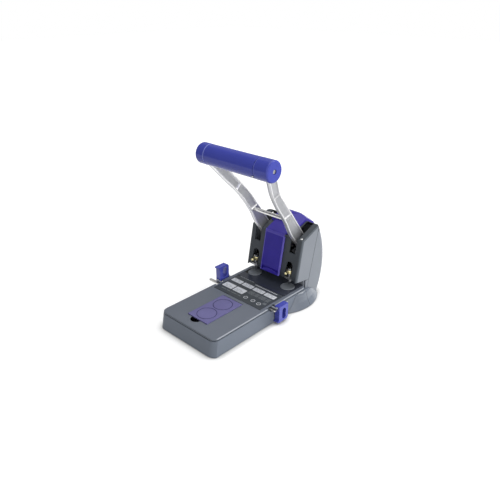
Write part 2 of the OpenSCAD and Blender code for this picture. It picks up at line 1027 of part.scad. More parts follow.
module frame_plate(side) {
  color(STEEL)
    scale_side(side)
      across(frame_x[0], frame_x[1])
        difference() {
          polygon([
            pivot + [-19, plate_top - pivot[1]], [frame_rear - 4, plate_top], [frame_rear, 40],
            pivot + [12, -2], pivot + [4, 12], pivot + [-12, 12], pivot + [-19, 2]
          ]);
          translate(pivot)
            circle(d = pivot_d);
        }
}

module pivot_shaft() {
  color(STEEL)
    rod_x(-inner_half + 1, inner_half - 1, pivot, pivot_d / 2);
}

module punch_plate() {
  color(STEEL)
    difference() {
      union() {
        block([-inner_half + gap, plate_y[0] + 3, plate_z[0]], [inner_half - gap, plate_y[1], plate_z[1]]);
        // Lips that show in the windows
        for (side = [-1, 1])
          block(
            [side * hole_x - window_w / 2 + 1, front_y(plate_z[0]) + 0.4, plate_z[0]],
            [side * hole_x + window_w / 2 - 1, plate_y[0] + 4, plate_z[1]]);
      }
      for (side = [-1, 1])
        translate([side * hole_x, punch_y, 0])
          cylinder(h = big, r = punch_d / 2 + run_fit);
    }
}

module throat_stop() {
  color(GREY)
    block([-inner_half + gap, base_rear + 0.4, base_h - 4], [inner_half - gap, base_rear + 5, plate_z[0]]);
}

module punch_carrier() {
  slot_h = drive_pin_d / 2 + slot_play;
  color(STEEL)
    difference() {
      union() {
        block(
          [-carrier_half, carrier_y[0], carrier_z[0]],
          [carrier_half, carrier_y[1], carrier_z[1]]);
        for (side = [-1, 1]) {
          // Holder in front of the beam
          block(
            [side * hole_x - holder_r, punch_y, collar_z + collar_size[1] + 0.2],
            [side * hole_x + holder_r, carrier_y[0] + 1, holder_top]);
          translate([side * hole_x, punch_y, collar_z + collar_size[1] + 0.2])
            cylinder(h = holder_top - collar_z - collar_size[1] - 0.2, r = holder_r);
          // Tongue with the slot for the drive pin
          scale_side(side)
            block(
              [drive_x[0], carrier_y[0] + 3, carrier_z[1] - 4],
              [drive_x[1], drive_at[0] + tongue_reach, drive_at[1] + tongue_reach]);
        }
      }
      for (side = [-1, 1]) {
        translate([side * hole_x, punch_y, 0])
          cylinder(h = big, r = punch_d / 2);
        scale_side(side)
          block(
            [0, drive_at[0] - slot_h - 2.4, drive_at[1] - slot_h],
            [drive_x[1] + 1, drive_at[0] + slot_h + 2.4, drive_at[1] + slot_h]);
      }
    }
}

module punch(side) {
  shank = punch_d / 2;
  color(STEEL)
    translate([side * hole_x, punch_y, 0])
      rotate_extrude()
        polygon([
          [punch_edge[1] / 2, punch_tip], [punch_edge[0] / 2, punch_tip],
          [shank, punch_tip + 4], [shank, holder_top], [punch_edge[1] / 2, holder_top]
        ]);
}

module punch_collars() {
  r = collar_size[0] / 2;
  h = collar_size[1];
  screw_r = collar_screw[0] / 2;
  color(BRASS)
    for (side = [-1, 1])
      translate([side * hole_x, punch_y, collar_z])
        difference() {
          union() {
            rotate_extrude()
              polygon([[0, 0], [r - 1, 0], [r, 1], [r, h - 1], [r - 1, h], [0, h]]);
            // Screw that locks the punch, with a domed end
            translate([0, 0, h / 2])
              rotate([90, 0, 0])
                rotate_extrude()
                  polygon([
                    [0, 0], [screw_r, 0], [screw_r, collar_screw[1] - 1.6],
                    [screw_r - 0.6, collar_screw[1] - 0.6], [screw_r - 1.6, collar_screw[1]],
                    [0, collar_screw[1]]
                  ]);
          }
          translate([0, 0, -1])
            cylinder(h = h + 2, d = punch_d);
        }
}

// Places the arm's own frame: Y across its width and Z along its length
module on_arm() {
  translate([0, pivot[0], pivot[1]])
    rotate([arm_tilt, 0, 0])
      children();
}

// Front and rear edges of an arm above its bend, where it draws in towards the grip
function upper_front(s) = arm_taper[0] * s / upper_end - arm_w / 2;
function upper_rear(s) = arm_w / 2 - arm_taper[1] * s / upper_end;

module upper_strip(s0, s1, inset) {
  polygon([
    [upper_front(s0) + inset, s0], [upper_rear(s0) - inset, s0],
    [upper_rear(s1) - inset, s1], [upper_front(s1) + inset, s1]
  ]);
}

module lower_strip(s0, s1, inset) {
  translate([inset - arm_w / 2, s0])
    square([arm_w - 2 * inset, s1 - s0]);
}

// A flat length of arm: an outline for its web, and pockets that leave rims on both faces
module arm_flat() {
  half = arm_t / 2;
  across(arm_panel - half, half - arm_panel)
    children(0);
  across(-half, half)
    difference() {
      children(0);
      children(1);
    }
}

module arm_lower() {
  arm_flat() {
    lower_strip(0, bend_s, 0);
    union() {
      lower_strip(panel_from, rib_at, arm_rim);
      lower_strip(rib_at + rib_t, bend_s - knuckle_r - 1, arm_rim);
    }
  }
}

module arm_upper() {
  translate([0, 0, bend_s])
    rotate([0, bend_angle, 0])
      arm_flat() {
        upper_strip(0, upper_end, 0);
        upper_strip(knuckle_r + 1, upper_end - 24, arm_rim);
      }
}

// Round rib across the bend that both lengths run into
module arm_knuckle() {
  half = arm_w / 2 + 0.15;
  translate([0, half, bend_s])
    rotate([90, 0, 0])
      cylinder(h = 2 * half, r = knuckle_r);
}

module lever_arm(side) {
  half = arm_t / 2;
  boss = half + 0.4;
  color(CAST)
    scale_side(side)
      difference() {
        union() {
          on_arm()
            translate([arm_x, 0, 0]) {
              arm_lower();
              arm_knuckle();
              arm_upper();
            }
          rod_x(arm_x - boss, arm_x + boss, pivot, eye_r);
          rod_x(arm_x - boss, arm_x + boss, drive_at, lug_r);
          across(arm_x - half + 0.3, arm_x + half - 0.3)
            polygon([
              drive_at + [0, lug_r], drive_at + [0, -lug_r], pivot + [0, -eye_r + 1], pivot + [0, eye_r - 1]
            ]);
        }
        rod_x(0, big, pivot, pivot_d / 2 + run_fit);
        rod_x(0, arm_x + 2, drive_at, drive_pin_d / 2);
        rod_x(0, grip_len / 2 - rod_in, grip_axis, grip_rod_d / 2);
        rod_x(0, big, grip_axis, screw_shank / 2);
        rod_x(well_floor - gap, big, grip_axis, screw_well[0] / 2);
        rod_x(0, arm_x + 1, cross_at(), cross_rod[0] / 2);
        rod_x(0, big, cross_at(), rod_end_d / 2);
      }
}

function cross_at() = pivot + cross_rod[1] * [-sin(arm_tilt), cos(arm_tilt)];

module drive_pins() {
  color(STEEL)
    for (side = [-1, 1])
      scale_side(side)
        rod_x(drive_x[0], arm_x + 2, drive_at, drive_pin_d / 2);
}

module cross_rod() {
  color(STEEL)
    union() {
      rod_x(-arm_x - 1, arm_x + 1, cross_at(), cross_rod[0] / 2);
      rod_x(-arm_x - arm_t / 2, arm_x + arm_t / 2, cross_at(), rod_end_d / 2);
    }
}

module handle_rod() {
  color(STEEL)
    rod_x(rod_in - grip_len / 2, grip_len / 2 - rod_in, grip_axis, grip_rod_d / 2);
}

// Room for the arms inside the grip and its caps
module arm_room() {
  for (side = [-1, 1])
    scale_side(side)
      on_arm()
        translate([arm_x, 0, bend_s])
          rotate([0, bend_angle, 0])
            across(-arm_t / 2 - gap, arm_t / 2 + gap)
              upper_strip(0, upper_end + 1, -gap);
}

module handle_grip() {
  color(VIOLET)
    difference() {
      rod_x(cap_from[0] + cap_seam, cap_from[1] - cap_seam, grip_axis, grip_d / 2 - 0.2);
      rod_x(-big, big, grip_axis, grip_rod_d / 2);
      arm_room();
    }
}

// A cap from its seam to its rounded end
module handle_cap(side) {
  from = side > 0 ? cap_from[1] : -cap_from[0];
  len = grip_len / 2 - from;
  r = grip_d / 2;
  color(VIOLET)
    difference() {
      scale_side(side)
        translate([from, grip_axis[0], grip_axis[1]])
          rotate([0, 90, 0])
            rotate_extrude()
              union() {
                polygon([
                  [0, 0], [r - seam_round, 0], [r, seam_round], [r, len - cap_round],
                  [r - cap_round, len], [0, len]
                ]);
                translate([r - cap_round, len - cap_round])
                  circle(cap_round);
              }
      rod_x(rod_in - grip_len / 2, grip_len / 2 - rod_in, grip_axis, grip_rod_d / 2);
      scale_side(side) {
        rod_x(0, big, grip_axis, screw_shank / 2);
        rod_x(well_floor, big, grip_axis, screw_well[0] / 2);
      }
      arm_room();
    }
}

module handle_screws() {
  color(STEEL)
    for (side = [-1, 1])
      scale_side(side)
        difference() {
          union() {
            rod_x(grip_len / 2 - rod_in, well_floor, grip_axis, screw_shank / 2);
            rod_x(well_floor, well_floor + screw_head[1], grip_axis, screw_head[0] / 2);
          }
          // Hexagon socket
          translate([well_floor + screw_head[1] / 3, grip_axis[0], grip_axis[1]])
            rotate([0, 90, 0])
              cylinder(h = screw_head[1], d = screw_head[0] / 2, $fn = 6);
        }
}

base_shell();
base_cover();
bottom_plate();
feet();
rear_foot();
label_plate();
punch_bed();
storage_lid();
lid_pin();
spare_discs();
cutting_disc(-1);  // cutting_disc_left
cutting_disc(1);  // cutting_disc_right
guide_stop(-1);  // guide_stop_left
guide_stop(1);  // guide_stop_right
guide_pins();
guide_bar();
tower_front();
side_cover(-1);  // side_cover_left
side_cover(1);  // side_cover_right
rear_cover();
chip_door();
door_pin();
top_cover();
cover_screws();
frame_plate(-1);  // frame_plate_left
frame_plate(1);  // frame_plate_right
pivot_shaft();
punch_plate();
throat_stop();
punch_carrier();
punch(-1);  // punch_left
punch(1);  // punch_right
punch_collars();
lever_arm(-1);  // lever_arm_left
lever_arm(1);  // lever_arm_right
drive_pins();
cross_rod();
handle_rod();
handle_grip();
handle_cap(-1);  // handle_cap_left
handle_cap(1);  // handle_cap_right
handle_screws();
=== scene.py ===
"""Looks of a heavy duty two-hole punch: its finishes, the print on its field and its studio.

Metres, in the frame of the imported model: the front towards -Y, +X to the user's right, Z = 0 is
the table, and X = Y = 0 is half way between the two cutting discs.
"""

import json
import math

import bpy
import numpy as np
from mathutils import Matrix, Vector


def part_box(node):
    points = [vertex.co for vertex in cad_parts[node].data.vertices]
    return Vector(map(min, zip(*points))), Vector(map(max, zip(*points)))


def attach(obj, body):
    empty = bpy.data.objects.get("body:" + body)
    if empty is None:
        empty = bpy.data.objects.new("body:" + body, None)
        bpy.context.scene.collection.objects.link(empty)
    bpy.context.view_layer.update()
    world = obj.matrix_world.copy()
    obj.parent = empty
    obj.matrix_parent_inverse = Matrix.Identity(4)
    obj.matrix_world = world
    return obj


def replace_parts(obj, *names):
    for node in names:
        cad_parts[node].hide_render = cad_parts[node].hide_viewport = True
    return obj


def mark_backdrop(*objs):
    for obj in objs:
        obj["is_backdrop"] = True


MM = 0.001

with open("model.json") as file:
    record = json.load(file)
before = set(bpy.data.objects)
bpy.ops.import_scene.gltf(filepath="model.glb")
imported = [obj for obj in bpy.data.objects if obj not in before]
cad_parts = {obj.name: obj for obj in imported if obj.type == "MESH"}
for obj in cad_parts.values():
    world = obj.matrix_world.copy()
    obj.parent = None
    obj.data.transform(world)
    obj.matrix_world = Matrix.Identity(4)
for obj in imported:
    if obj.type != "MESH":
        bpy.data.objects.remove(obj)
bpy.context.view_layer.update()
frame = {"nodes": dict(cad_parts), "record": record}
nodes = frame["nodes"]


# Finishes


def linear(code):
    """An sRGB hex colour as linear red, green, blue and alpha."""
    parts = [int(code[i : i + 2], 16) / 255 for i in (1, 3, 5)]
    return [c / 12.92 if c <= 0.04045 else ((c + 0.055) / 1.055) ** 2.4 for c in parts] + [1.0]


def add(tree, kind, inputs=(), **settings):
    """Adds a node: its properties, then its inputs, each a value or another node's output."""
    made = tree.nodes.new(kind)
    for name, value in settings.items():
        setattr(made, name, value)
    for name, value in dict(inputs).items():
        if isinstance(value, bpy.types.NodeSocket):
            tree.links.new(value, made.inputs[name])
        else:
            made.inputs[name].default_value = value
    return made


def per_mm(size):
    """The texture scale that gives features of this size in millimetres."""
    return 1 / (size * MM)


def finish(name, **constants):
    """A new material with its node tree, its shader and the Object coordinates."""
    made = bpy.data.materials.new(name)
    made.use_nodes = True
    tree = made.node_tree
    shader = tree.nodes["Principled BSDF"]
    for socket, value in constants.items():
        shader.inputs[socket.replace("_", " ")].default_value = value
    return made, tree, shader, add(tree, "ShaderNodeTexCoord").outputs["Object"]


def toned(tree, shader, place, blend, shade, colour, marked=()):
    """Base colour: from shade to colour as blend goes from 0 to 1. Marked holds pairs of a colour
    and a function that gives the places, from 0 to 1, that have it."""
    tone = add(
        tree, "ShaderNodeMix", {0: blend, 6: linear(shade), 7: linear(colour)}, data_type="RGBA"
    )
    for mark, places in marked:
        tone = add(
            tree,
            "ShaderNodeMix",
            {0: places(tree, place), 6: tone.outputs[2], 7: linear(mark)},
            data_type="RGBA",
        )
    tree.links.new(tone.outputs[2], shader.inputs["Base Color"])


def surfaced(tree, shader, dull, rough, height, strength, distance, edge=None):
    """Roughness: from the first to the second of rough as dull goes from 0 to 1. Normal: a bump of
    the height, over edges that are softly rounded to the edge's radius in millimetres."""
    gloss = add(
        tree, "ShaderNodeMapRange", {"Value": dull, "To Min": rough[0], "To Max": rough[1]}
    )
    tree.links.new(gloss.outputs[0], shader.inputs["Roughness"])
    bump = add(
        tree,
        "ShaderNodeBump",
        {"Height": height, "Strength": strength, "Distance": distance * MM},
    )
    if edge:
        soft = add(tree, "ShaderNodeBevel", {"Radius": edge * MM}, samples=4)
        tree.links.new(soft.outputs[0], bump.inputs["Normal"])
    tree.links.new(bump.outputs[0], shader.inputs["Normal"])


def moulded_abs(name, colour, shade, grain, rough, edge=0.4, depth=0.25, marked=(), sheen=0.3):
    """Injection moulded ABS: its colour drifts a little over 50 mm, the spark eroded mould gives it
    a fine grain in bump and gloss, and its edges are softly rounded. The grain is drawn at a
    millimetre or so, coarser than the real 0.2 mm, so that it shows. Sheen is the specular
    level."""
    made, tree, shader, place = finish(name, IOR=1.52, Specular_IOR_Level=sheen)
    drift = add(tree, "ShaderNodeTexNoise", {"Vector": place, "Scale": per_mm(50), "Detail": 3.0})
    toned(tree, shader, place, drift.outputs[0], shade, colour, marked)
    pits = add(tree, "ShaderNodeTexNoise", {"Vector": place, "Scale": per_mm(grain), "Detail": 2.0})
    pits = pits.outputs[0]
    surfaced(tree, shader, pits, (rough - 0.06, rough + 0.06), pits, depth, 0.05, edge)
    return made


def clear_violet(name, colour, shade, through, sheen, marked=()):
    """Tinted polystyrene, polished: light goes through it, the colour deepens in slow clouds where
    the wall is thicker, and the surface has the faint waves of a moulding, 12 mm long."""
    made, tree, shader, place = finish(
        name, IOR=1.5, Transmission_Weight=through, Specular_IOR_Level=sheen
    )
    cloud = add(tree, "ShaderNodeTexNoise", {"Vector": place, "Scale": per_mm(25), "Detail": 1.5})
    cloud = cloud.outputs[0]
    toned(tree, shader, place, cloud, shade, colour, marked)
    wave = add(tree, "ShaderNodeTexNoise", {"Vector": place, "Scale": per_mm(12), "Detail": 0.0})
    surfaced(tree, shader, cloud, (0.14, 0.24), wave.outputs[0], 0.15, 0.1, 0.5)
    return made


def metal(name, colour, shade, rough, grain, stretch, depth):
    """Bare metal: its tone and gloss follow the marks that its making left. Stretch draws the marks
    out along X, Y and Z, so a ground bar has lines and a sheet has the streaks of its rolling."""
    made, tree, shader, place = finish(name, Metallic=1.0)
    along = add(tree, "ShaderNodeMapping", {"Vector": place, "Scale": stretch})
    marks = add(
        tree,
        "ShaderNodeTexNoise",
        {"Vector": along.outputs[0], "Scale": per_mm(grain), "Detail": 3.0},
    )
    marks = marks.outputs[0]
    toned(tree, shader, place, marks, shade, colour)
    surfaced(tree, shader, marks, rough, marks, depth, 0.05, 0.3)
    return made


def cast_aluminium(name, rim, sunk, shade):
    """Die cast aluminium, tumbled: the proud rims are lighter than the sunk panels, partly metal
    worn bright and partly a painted highlight along them, and the sunk panels keep the duller skin
    of the casting, whose oxide scatters a part of the light. The piece's own shine attribute says
    which, from 1 to 0."""
    made, tree, shader, place = finish(name, Metallic=0.75)
    shine = add(tree, "ShaderNodeAttribute", attribute_name="shine").outputs["Fac"]
    mottle = add(tree, "ShaderNodeTexNoise", {"Vector": place, "Scale": per_mm(9), "Detail": 3.0})
    worn_and_highlit = ((rim, lambda tree, place: shine),)
    toned(tree, shader, place, mottle.outputs[0], shade, sunk, worn_and_highlit)
    pits = add(tree, "ShaderNodeTexNoise", {"Vector": place, "Scale": per_mm(1.2), "Detail": 2.0})
    surfaced(tree, shader, shine, (0.42, 0.3), pits.outputs[0], 0.12, 0.05)
    return made


# Places that have a tone of their own, in millimetres, among them painted shade and painted
# highlights. A pair is where the tone is absent and where it is full.
FLOOR_X, FLOOR_Y, FLOOR_Z = (59, 58), (-200, -199), (31.4, 31.25)
EDGE_X, EDGE_Z = (62.6, 63.4), (30.6, 31.2)
FOLD_X = (57.5, 59)
COVER_SEAM = 26.6
COVER_WAY = (0, 0.9745, -0.2242)
SLOT_INNER, SLOT_OUTER, SLOT_DEPTH = (34.15, 34.35), (48.35, 48.15), (-9.1, -7.6)
FRONT_WAY = (0, 0.9823, -0.1874)
GRIP_MIDDLE, GRIP_SEAM = -4.4, 54.6
FOOT_SEAM = 19
LID_Y = -142.5
WELL_STEP = 18.5
WELL_R = 16.5
DOOR_X = (19.8, 20.8)
DOOR_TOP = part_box("chip_door")[1].z / MM
DOOR_Z = (DOOR_TOP - 5, DOOR_TOP - 4.2)


def apart(tree, place):
    """A place's |X|, Y and Z: the left side is folded onto the right one."""
    at = add(tree, "ShaderNodeSeparateXYZ", {0: place})
    x = add(tree, "ShaderNodeMath", {0: at.outputs["X"]}, operation="ABSOLUTE")
    return x.outputs[0], at.outputs["Y"], at.outputs["Z"]


def overlap(tree, *ramps):
    """The product of ramps, each a value, where it is 0 and where it is 1."""
    product = 1.0
    for value, none, full in ramps:
        part = add(
            tree,
            "ShaderNodeMapRange",
            {"Value": value, "From Min": none * MM, "From Max": full * MM},
        )
        joined = add(tree, "ShaderNodeMath", {0: product, 1: part.outputs[0]}, operation="MULTIPLY")
        product = joined.outputs[0]
    return product


def line_at(tree, value, middle, half, fade, strength=1.0):
    """A line where a value is near its middle: strength up to half from it, and 0 from fade on."""
    off = add(tree, "ShaderNodeMath", {0: value, 1: middle * MM}, operation="SUBTRACT")
    away = add(tree, "ShaderNodeMath", {0: off.outputs[0]}, operation="ABSOLUTE")
    line = add(
        tree,
        "ShaderNodeMapRange",
        {
            "Value": away.outputs[0],
            "From Min": half * MM,
            "From Max": fade * MM,
            "To Min": strength,
            "To Max": 0,
        },
    )
    return line.outputs[0]


def painted_shade_on_sunk_floors(tree, place):
    """The floors that lie below the base's top face, inside its rim, painted near black: painted
    shade in the recesses.
    """
    x, y, z = apart(tree, place)
    return overlap(tree, (x, *FLOOR_X), (y, *FLOOR_Y), (z, *FLOOR_Z))


def painted_highlight_on_top_edges(tree, place):
    """The two long top edges of the base, painted pale: a painted highlight along them."""
    x, _, z = apart(tree, place)
    return overlap(tree, (x, *EDGE_X), (z, *EDGE_Z))


def painted_light_on_side_folds(tree, place):
    """The tower front's folds, which turn back along the tower's two sides, painted lighter than
    the front: a painted highlight.
    """
    return overlap(tree, (apart(tree, place)[0], *FOLD_X))


def cover_seam(tree, place):
    """The line where a side cover meets the rear cover: y * cos a - z * sin a, with a = 13
    degrees, is COVER_SEAM."""
    along = add(
        tree, "ShaderNodeVectorMath", {0: place, 1: COVER_WAY}, operation="DOT_PRODUCT"
    )
    return line_at(tree, along.outputs["Value"], COVER_SEAM, 0.45, 0.75)


def painted_shade_in_slots(tree, place):
    """The walls of the two arm slots, 2 mm and more behind the tower's front, where y * cos a - z *
    sin a, with a = 10.8 degrees, is -10.7. They are painted near black: painted shade inside the
    slots."""
    depth = add(
        tree, "ShaderNodeVectorMath", {0: place, 1: FRONT_WAY}, operation="DOT_PRODUCT"
    ).outputs["Value"]
    x, _, _ = apart(tree, place)
    return overlap(tree, (x, *SLOT_INNER), (x, *SLOT_OUTER), (depth, *SLOT_DEPTH))


def painted_highlight_by_grip_seams(tree, place):
    """A line beside each of the grip's two seams, painted pale: a painted highlight on the
    moulding's edge.
    """
    centred = add(
        tree, "ShaderNodeMapping", {"Vector": place, "Location": (-GRIP_MIDDLE * MM, 0, 0)}
    )
    return line_at(tree, apart(tree, centred.outputs[0])[0], GRIP_SEAM, 0.5, 0.8)


def foot_seam(tree, place):
    """The line across the middle of the rear foot."""
    return line_at(tree, apart(tree, place)[1], FOOT_SEAM, 0.5, 0.9, 0.8)


def lid_rings(tree, place):
    """A line round each of the two wells: |distance from the nearer well - its radius|."""
    centred = add(tree, "ShaderNodeMapping", {"Vector": place, "Location": (0, -LID_Y * MM, 0)})
    folded = add(tree, "ShaderNodeVectorMath", {0: centred.outputs[0]}, operation="ABSOLUTE")
    flat = add(
        tree, "ShaderNodeVectorMath", {0: folded.outputs[0], 1: (1, 1, 0)}, operation="MULTIPLY"
    )
    away = add(
        tree,
        "ShaderNodeVectorMath",
        {0: flat.outputs[0], 1: (0, WELL_STEP * MM, 0)},
        operation="DISTANCE",
    )
    return line_at(tree, away.outputs["Value"], WELL_R, 0.35, 0.95, 0.75)


def door_edges(tree, place):
    """The two side edges of the door, where light comes out of the clear wall, and half as strong
    the band along its top."""
    x, _, z = apart(tree, place)
    sides = overlap(tree, (x, *DOOR_X))
    band = add(
        tree,
        "ShaderNodeMapRange",
        {"Value": z, "From Min": DOOR_Z[0] * MM, "From Max": DOOR_Z[1] * MM, "To Max": 0.5},
    )
    return add(
        tree, "ShaderNodeMath", {0: sides, 1: band.outputs[0]}, operation="MAXIMUM"
    ).outputs[0]


FINISHES = {
    "grey_shell": moulded_abs("grey ABS, grained, sides", "#717884", "#68707B", 0.9, 0.5),
    # The near black on the sunk floors is painted shade in their recesses.
    # The pale band on the long top edges is a painted highlight.
    "grey_cover": moulded_abs(
        "grey ABS, grained, top", "#6C717C", "#636A74", 0.9, 0.42, 1.0,
        marked=(("#0E0E10", painted_shade_on_sunk_floors), ("#969BA3", painted_highlight_on_top_edges)),
    ),
    "grey_foot": moulded_abs(
        "grey ABS, grained, foot", "#717883", "#686F79", 0.9, 0.22,
        marked=(("#4A4F57", foot_seam),), sheen=0.6,
    ),
    "grey_tower": moulded_abs(
        "grey ABS, grained, tower", "#878C93", "#7D828A", 0.9, 0.48,
        marked=(("#50555B", cover_seam),),
    ),
    # The lighter tone on the side folds is a painted highlight.
    # The near black on the slot walls is painted shade.
    "charcoal": moulded_abs(
        "charcoal ABS, grained", "#40454B", "#383D42", 0.9, 0.5,
        marked=(("#575E65", painted_light_on_side_folds), ("#08080A", painted_shade_in_slots)),
    ),
    "label_dark": moulded_abs("dark ABS, satin field", "#40454A", "#393E43", 0.6, 0.42, 0.2, 0.1),
    # The bed's bluish tint is a painted reflection of the violet door.
    "bed_black": moulded_abs(
        "near black ABS, satin", "#3C404B", "#333742", 0.7, 0.16, 0.3, 0.05, sheen=0.5
    ),
    "pad_grey": moulded_abs("grey polypropylene, matt", "#7A7F86", "#6E7379", 1.2, 0.5, 0.3, 0.2),
    # The pale line beside the grip's seams is a painted highlight.
    "violet_solid": moulded_abs(
        "violet ABS, smooth", "#4850AE", "#4149A4", 1.5, 0.16, 0.8, 0.03,
        marked=(("#7F87D2", painted_highlight_by_grip_seams),), sheen=0.2,
    ),
    "violet_clear": clear_violet(
        "violet polystyrene, clear", "#3A2EA4", "#2B2189", 0.05, 0.12, (("#6F66C6", door_edges),)
    ),
    # The rims' lighter colour is partly a painted highlight.
    "cast_arm": cast_aluminium("cast aluminium", "#F8F8F9", "#C6C7CA", "#B4B5BA"),
    "bright_steel": metal(
        "plated steel, bright", "#E2E2E0", "#D4D4D2", (0.22, 0.32), 2.0, (0.05, 1, 1), 0.03
    ),
    "bar_steel": metal(
        "ground steel bar", "#DCDBD8", "#C8C7C3", (0.3, 0.42), 0.6, (0.04, 1, 1), 0.1
    ),
    "plate_steel": metal(
        "rolled steel sheet", "#B8B9BB", "#A6A7A9", (0.32, 0.45), 0.8, (1, 0.05, 1), 0.1
    ),
    "punch_steel": metal(
        "ground tool steel", "#8E8F92", "#77787B", (0.14, 0.24), 0.5, (1, 1, 0.05), 0.08
    ),
    "brass_nut": metal(
        "turned brass", "#F6EDC0", "#E9DC9C", (0.26, 0.38), 0.5, (0.05, 0.05, 1), 0.1
    ),
    "rubber_black": moulded_abs("black rubber, matt", "#1A1A1A", "#131313", 1.0, 0.75, 0.3, 0.2),
}

lid_violet = clear_violet(
    "violet polystyrene, thin lid", "#7A77A8", "#6E6A9C", 0.15, 0.22, (("#3A3762", lid_rings),)
)
stop_violet = clear_violet("violet polystyrene, thick stops", "#535ABC", "#474EAE", 0.1, 0.6)
hood_violet = clear_violet("violet polystyrene, hood", "#40369A", "#382F8C", 0.0, 0.2)
black_sheet = metal(
    "rolled steel sheet, blackened", "#2A2B2E", "#1E1F21", (0.4, 0.52), 0.8, (1, 0.05, 1), 0.1
)
OWN = {
    "frame_plate_left": black_sheet,
    "frame_plate_right": black_sheet,
    "storage_lid": lid_violet,
    "guide_stop_left": stop_violet,
    "guide_stop_right": stop_violet,
    "top_cover": hood_violet,
}
for part in frame["record"]["subparts"]:
    materials = nodes[part["node"]].data.materials
    materials.clear()
    materials.append(OWN.get(part["node"], FINISHES[part["material_slot"]]))


# Cast lever arms


def shown(name, mesh, finish_of, body):
    """An object of a mesh, with its finish and its slot, that rides on a body."""
    mesh.materials.append(finish_of)
    made = bpy.data.objects.new(name, mesh)
    bpy.context.scene.collection.objects.link(made)
    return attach(made, body)


def skin(name, points, closed, finish_of, body, shine=None):
    """A mesh of a grid of points, rows by columns. The columns close into a ring. The rows close
    into a ring too, or each end is closed by one flat face. Shine is a number for each point."""
    rows, columns = points.shape[:2]
    i = np.arange(rows if closed else rows - 1)[:, None]
    j = np.arange(columns)[None]
    nearer, further = i * columns, (i + 1) % rows * columns
    beside = (j + 1) % columns
    faces = np.stack([nearer + j, nearer + beside, further + beside, further + j], axis=-1)
    faces = faces.reshape(-1, 4).tolist()
    if not closed:
        ring = np.arange(columns)
        faces += [ring[::-1].tolist(), ((rows - 1) * columns + ring).tolist()]
    mesh = bpy.data.meshes.new(name)
    mesh.from_pydata(points.reshape(-1, 3).tolist(), [], faces)
    if shine is not None:
        layer = mesh.attributes.new("shine", "FLOAT", "POINT")
        layer.data.foreach_set("value", shine.astype(np.float32).ravel())
    mesh.polygons.foreach_set("use_smooth", np.ones(len(mesh.polygons), bool))
    mesh.update()
    return shown(name, mesh, finish_of, body)


def smooth(value, start, end):
    """0 before start, 1 after end, and 3 t^2 - 2 t^3 between them."""
    t = np.clip((value - start) / (end - start), 0, 1)
    return t * t * (3 - 2 * t)


PIVOT = np.array((50.1, 91.7))
GRIP = np.array((-86.7, 275.7))
ARM_LENGTH = np.linalg.norm(GRIP - PIVOT)
UP_ARM = (GRIP - PIVOT) / ARM_LENGTH
ACROSS_ARM = np.array((UP_ARM[1], -UP_ARM[0]))
ARM_X = 39.7
GRIP_X = 69.2
BEND = 145.6
BEND_SOFT = 9.0
ARM_THICK = 8.2
# The arm's front and rear edges off its axis, and how much fuller its front is in the tower
ARM_FRONT = -10.3
ARM_REAR = 10.6
ARM_BELLY = 3.2
ARM_CORNER = 1.3
RIM = 1.9
PANEL_SLOPE = 1.3
PANEL_DEPTH = 2.2
# For the outer and the inner face: places along the arm of the ribs that part its panels, each with
# its slant; and half a rib's width
OUTER_RIBS = ((160.0, 0.35), (100.0, 0.35))
INNER_RIBS = ((152.0, -0.1), (94.5, 0.27))
RIB_HALF = 0.7


def arm_path(along):
    """The arm's X and its slope in X: straight at ARM_X, then straight to the grip, joined by
    soft * log(1 + exp(step / soft)), which rounds the bend."""
    rise = (GRIP_X - ARM_X) / (ARM_LENGTH - BEND)
    step = (along - BEND) / BEND_SOFT
    return ARM_X + rise * BEND_SOFT * np.log1p(np.exp(step)), rise / (1 + np.exp(-step))


